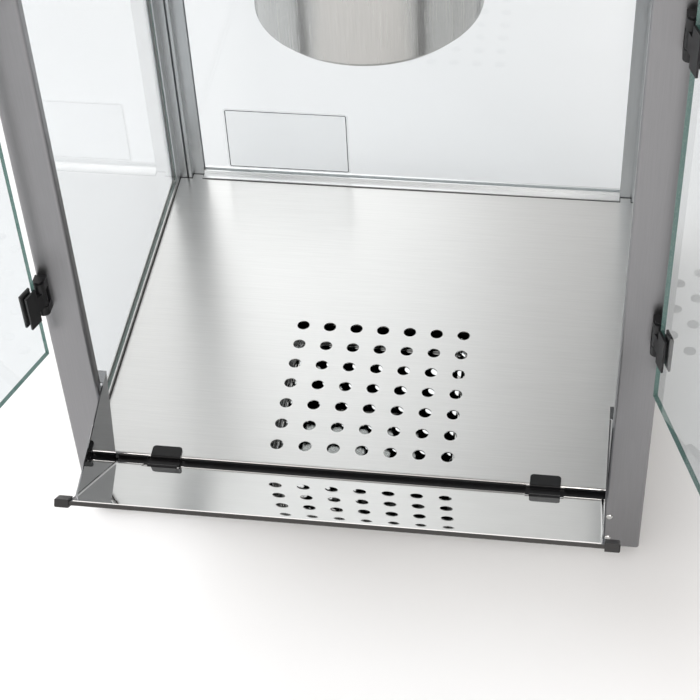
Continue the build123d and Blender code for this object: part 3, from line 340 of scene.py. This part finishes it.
def blank_label():
    """A bare rating plate with a printed frame line, stuck to the outside of the back glass."""
    width, height, corner = 101 * MM, 60 * MM, 3 * MM
    left, bottom = -149 * MM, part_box("floor_pan")[1].z + 5.5 * MM
    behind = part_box("back_glass")[1].y + 0.02 * MM
    plate = bmesh.new()
    bmesh.ops.create_grid(plate, x_segments=1, y_segments=1, size=0.5)
    bmesh.ops.scale(plate, vec=(width, height, 1), verts=plate.verts)
    bmesh.ops.bevel(
        plate, geom=plate.verts[:], offset=corner, segments=5, profile=0.5, affect="VERTICES", material=-1
    )
    bmesh.ops.rotate(plate, verts=plate.verts, matrix=Matrix.Rotation(radians(-90), 3, "X"))
    centre = (left + width / 2, behind, bottom + height / 2)
    bmesh.ops.translate(plate, vec=centre, verts=plate.verts)
    plate.normal_update()
    middle = plate.faces[:]
    even = {"use_even_offset": True, "use_boundary": True}
    bmesh.ops.inset_region(plate, faces=middle, thickness=1.4 * MM, **even)
    line = bmesh.ops.inset_region(plate, faces=middle, thickness=0.7 * MM, **even)
    for face in line["faces"]:
        face.material_index = 1
    bmesh.ops.recalc_face_normals(plate, faces=plate.faces)
    bmesh.ops.solidify(plate, geom=plate.faces[:], thickness=0.15 * MM)
    piece_from("rating_plate_blank", plate, "cabinet", ("label_film", "label_ink"))


def outline_face(made, points, height):
    """One flat face through points given as x and y."""
    corners = [made.verts.new((x, y, height)) for x, y in points]
    return made.faces.new(corners)


def thickened(made, thickness):
    """Gives every face a thickness upwards, with outward normals."""
    grown = bmesh.ops.extrude_face_region(made, geom=made.faces[:])["geom"]
    moved = [v for v in grown if isinstance(v, bmesh.types.BMVert)]
    bmesh.ops.translate(made, vec=(0, 0, thickness), verts=moved)
    bmesh.ops.recalc_face_normals(made, faces=made.faces)


def floor_seams():
    """The dark line round three sides of the floor, made as a bead of sealant, and two plates that
    carry the floor into its rear corners beside the rail."""
    bead_width, bead_height, plate_thickness = 0.65 * MM, 0.2 * MM, 0.9 * MM
    extrusion_side, half_channel, front_gap = 15 * MM, 2.65 * MM, 2 * MM
    floor_low, floor_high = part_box("floor_pan")
    side, rear, top = floor_high.x, floor_high.y, floor_high.z
    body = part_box("corner_extrusions")[1].x - extrusion_side
    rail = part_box("rear_rails")[1].x
    recess = sum(c.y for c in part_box("back_glass")) / 2 - half_channel
    front = floor_low.y + front_gap
    half = [(side, front), (side, rear), (body, rear), (body, recess), (rail, recess), (rail, rear)]

    bead = bmesh.new()
    whole = outline_face(bead, half + [(-x, y) for x, y in reversed(half)], top)
    bead.normal_update()
    bmesh.ops.inset_region(
        bead, faces=[whole], thickness=bead_width, use_even_offset=True, use_boundary=True
    )
    at_front = min(bead.faces, key=lambda f: f.calc_center_median().y)
    bmesh.ops.delete(bead, geom=[whole, at_front], context="FACES")
    thickened(bead, bead_height)
    piece_from("floor_seam", bead, "cabinet", ("sealant",))

    tongues = bmesh.new()
    for s in (-1, 1):
        corners = [(s * body, rear), (s * body, recess), (s * rail, recess), (s * rail, rear)]
        outline_face(tongues, corners, top)
    bmesh.ops.recalc_face_normals(tongues, faces=tongues.faces)
    thickened(tongues, -plate_thickness)
    piece_from("floor_tongues", tongues, "cabinet", ("stainless_floor",))


def sifting_floor():
    """The floor pan with its sifting holes 9.2 mm across, where the node's are 8 mm."""
    pitch, rows, drawn, opened, setback = 20 * MM, 7, 4.0 * MM, 4.6 * MM, 79.0 * MM
    play = 0.1 * MM
    pan = bmesh.new()
    pan.from_mesh(nodes["floor_pan"].data)
    bmesh.ops.remove_doubles(pan, verts=pan.verts, dist=0.01 * MM)
    middle = Vector((0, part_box("floor_pan")[0].y + setback))
    places = [(i - (rows - 1) / 2) * pitch for i in range(rows)]
    for centre in (middle + Vector((x, y)) for x in places for y in places):
        for corner in pan.verts:
            arm = corner.co.xy - centre
            if arm.length < drawn + play:
                corner.co.xy = centre + arm * opened / drawn
    piece = piece_from("floor_sheet", pan, "cabinet", ("stainless_floor",))
    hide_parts("floor_pan")


def painted_highlight_strip():
    """A painted highlight: a white strip behind the glass along the foot of the back pane, which paints the bright
    edge line there over the shaded groove.
    """
    thickness, height = 0.12 * MM, 3.9 * MM
    pane_low, pane_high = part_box("back_glass")
    rail_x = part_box("rear_rails")[1].x
    near, far = pane_high.y, pane_high.y + thickness
    tape = bmesh.new()
    outline_face(tape, [(-rail_x, near), (rail_x, near), (rail_x, far), (-rail_x, far)], pane_low.z)
    thickened(tape, height)
    piece_from("painted_highlight_strip", tape, "cabinet", ("painted_highlight_strip",))


def lip_trim():
    """Trim that grips the hatch's lip from below and covers its cut edge. Its profile is drawn along
    the sheet, from the hinge line, and above it."""
    tilt = radians(35.5)
    edge, low, under, cover = 112 * MM, -0.4 * MM, 1.2 * MM, 2.0 * MM
    grip, overhang, clearance, rounding = 7 * MM, 1 * MM, 0.05 * MM, 0.12 * MM
    inner, outer, slit = edge - grip, edge + overhang, edge + clearance
    profile = ((inner, low), (outer, low), (outer, cover), (slit, cover), (slit, under), (inner, under))
    half = hatch_half()
    pivot = Vector(next(j for j in frame["joints"] if j["name"] == "hatch_hinge")["pos_m"])
    outward = Vector((0, -cos(tilt), sin(tilt)))
    upward = Vector((0, sin(tilt), cos(tilt)))
    strip = bmesh.new()
    end = strip.faces.new([strip.verts.new(pivot + t * outward + n * upward) for t, n in profile])
    bmesh.ops.translate(strip, vec=(-half, 0, 0), verts=strip.verts)
    grown = bmesh.ops.extrude_face_region(strip, geom=[end])["geom"]
    moved = [v for v in grown if isinstance(v, bmesh.types.BMVert)]
    bmesh.ops.translate(strip, vec=(2 * half, 0, 0), verts=moved)
    lengthwise = [e for e in strip.edges if abs(e.verts[0].co.x - e.verts[1].co.x) > half]
    bmesh.ops.bevel(
        strip, geom=lengthwise, offset=rounding, segments=2, profile=0.5, affect="EDGES", material=-1
    )
    bmesh.ops.recalc_face_normals(strip, faces=strip.faces)
    trim = piece_from("lip_trim", strip, "hatch", ("charcoal_moulding",))
    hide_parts("lip_bar")


def sill_channels():
    """Folded channels above and below the side panes, with walls 4.6 mm high."""
    low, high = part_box("side_channels")
    width, wall, height = 5.3 * MM, 1.0 * MM, 4.6 * MM
    channels = bmesh.new()
    for middle in (low.x + width / 2, high.x - width / 2):
        for base, up in ((low.z, 1), (high.z, -1)):
            profile = [(-width / 2, 0), (width / 2, 0), (width / 2, height), (width / 2 - wall, height)]
            profile += [(width / 2 - wall, wall), (wall - width / 2, wall)]
            profile += [(wall - width / 2, height), (-width / 2, height)]
            corners = [channels.verts.new((middle + x, low.y, base + up * z)) for x, z in profile]
            end = channels.faces.new(corners)
            grown = bmesh.ops.extrude_face_region(channels, geom=[end])["geom"]
            moved = [v for v in grown if isinstance(v, bmesh.types.BMVert)]
            bmesh.ops.translate(channels, vec=(0, high.y - low.y, 0), verts=moved)
    bmesh.ops.recalc_face_normals(channels, faces=channels.faces)
    piece = piece_from("sill_channels", channels, "cabinet", ("stainless_sill",))
    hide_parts("side_channels")


for pane_node, pane_body in (
    ("back_glass", "cabinet"),
    ("side_glass", "cabinet"),
    ("door_glass_left", "door_left"),
    ("door_glass_right", "door_right"),
):
    glazing(pane_node, pane_body)
blank_label()
sifting_floor()
floor_seams()
painted_highlight_strip()
lip_trim()
sill_channels()


# ---- Floor, light and camera ---------------------------------------------------------------------
def studio():
    """White paper and soft light. The surroundings are graded by direction, which grades what the
    brushed floor of the cabinet reflects."""
    paper_reach = 6.0
    mesh = bpy.data.meshes.new("floor")
    sheet = bmesh.new()
    bmesh.ops.create_grid(sheet, x_segments=1, y_segments=1, size=paper_reach)
    sheet.to_mesh(mesh)
    sheet.free()
    floor = bpy.data.objects.new("floor", mesh)
    scene.collection.objects.link(floor)
    made, _, _ = material("studio paper", Base_Color=linear("#fcfdfe"), Roughness=0.9)
    mesh.materials.append(made)

    world = bpy.data.worlds.new("studio")
    world.use_nodes = True
    tree = world.node_tree
    place = add(tree, "TexCoord").outputs["Generated"]
    parts = add(tree, "SeparateXYZ", {}, {0: place})
    settings = {"operation": "MULTIPLY_ADD"}
    lean = 1.2
    swept = add(tree, "Math", settings, {0: parts.outputs[0], 1: lean, 2: parts.outputs[2]}).outputs[0]
    glow = ramp(tree, swept, 0.42, 0.60, 1.5, 0.9)
    shade = ramp(tree, swept, 0.62, 0.80, 1.0, 0.45)
    strength = add(tree, "Math", {"operation": "MULTIPLY"}, {0: glow, 1: shade}).outputs[0]
    background = tree.nodes["Background"]
    background.inputs[0].default_value = linear("#fffbf8")
    tree.links.new(strength, background.inputs[1])
    scene.world = world
    scene.view_settings.view_transform = "Standard"

    for name, place, aim, width, height, power, colour in (
        ("back softbox", (-0.31, 1.2, 1.10), (-0.08, 0.1, 0.05), 0.6, 0.8, 1.3, "#ffffff"),
        ("left softbox", (-1.7, -0.3, 1.5), (0.0, 0.1, 0.1), 1.2, 1.2, 14.0, "#f6faff"),
        ("front fill", (0.9, -1.8, 1.6), (0.0, 0.0, 0.2), 1.6, 1.2, 20.0, "#fffaf5"),
    ):
        light = bpy.data.lights.new(name, "AREA")
        light.shape = "RECTANGLE"
        light.size, light.size_y = width, height
        light.energy = power
        light.color = linear(colour)[:3]
        lamp = bpy.data.objects.new(name, light)
        scene.collection.objects.link(lamp)
        lamp.location = place
        lamp.rotation_euler = (Vector(aim) - Vector(place)).to_track_quat("-Z", "Y").to_euler()


def camera():
    """The camera looks down at 45 degrees into the cabinet, from a little right of its middle."""
    pitch, yaw, roll = radians(44.96), radians(10.38), radians(-3.47)
    stand = Vector((0.1433, -0.8470, 0.9646))
    sensor_width, focal_length = 36.0, 90.45
    ahead = Vector((-sin(yaw) * cos(pitch), cos(yaw) * cos(pitch), -sin(pitch)))
    right = Vector((cos(yaw), sin(yaw), 0))
    down = ahead.cross(right)
    across = right * cos(roll) - down * sin(roll)
    below = right * sin(roll) + down * cos(roll)
    data = bpy.data.cameras.new("camera")
    data.sensor_width = sensor_width
    data.lens = focal_length
    eye = bpy.data.objects.new("camera", data)
    scene.collection.objects.link(eye)
    turned = Matrix((across, -below, -ahead)).transposed().to_4x4()
    turned.translation = stand
    eye.matrix_world = turned
    scene.camera = eye


studio()
camera()
